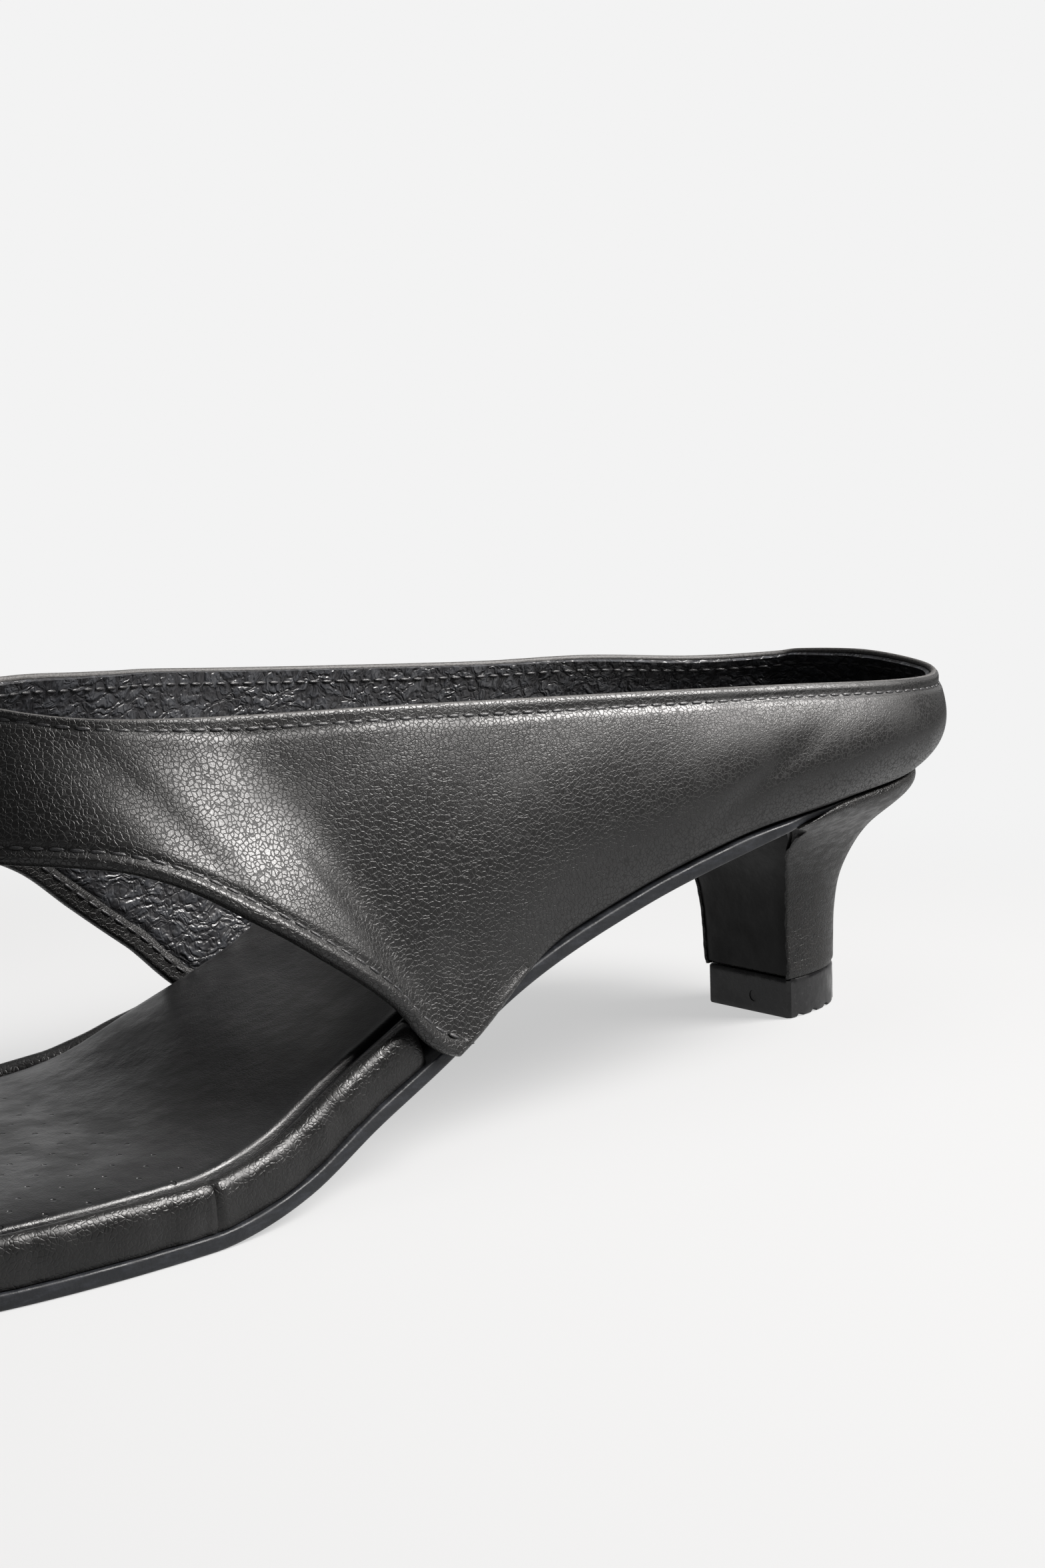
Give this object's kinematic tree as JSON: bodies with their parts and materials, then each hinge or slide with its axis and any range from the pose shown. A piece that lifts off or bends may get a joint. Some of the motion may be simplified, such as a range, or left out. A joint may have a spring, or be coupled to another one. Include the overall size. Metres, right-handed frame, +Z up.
{
  "type": "kitten heel mule",
  "caption": "Women's black leather kitten heel mule with a low closed back, a broad instep band, an open toe and a slim flared heel.",
  "frame": {"origin": "middle of the flat underside of the heel's top piece, where the heel meets the floor", "axes": "+X along the shoe's axis from heel to toe, +Y to the shoe's left, its outer side, +Z up from the floor"},
  "size_m": [0.2509, 0.0757, 0.0658],
  "materials": {
    "upper_leather": "semi-gloss",
    "footbed_leather": "satin",
    "rand_leather": "semi-gloss",
    "sole_rubber": "satin",
    "heel_leather": "semi-gloss",
    "breast_leather": "satin",
    "top_piece_plastic": "semi-gloss"
  },
  "bodies": {
    "root": {"upper": "upper_leather", "footbed": "footbed_leather", "rand": "rand_leather", "outsole": "sole_rubber", "heel": "heel_leather", "heel_breast_panel": "breast_leather", "top_piece": "top_piece_plastic"}
  },
  "joints": []
}
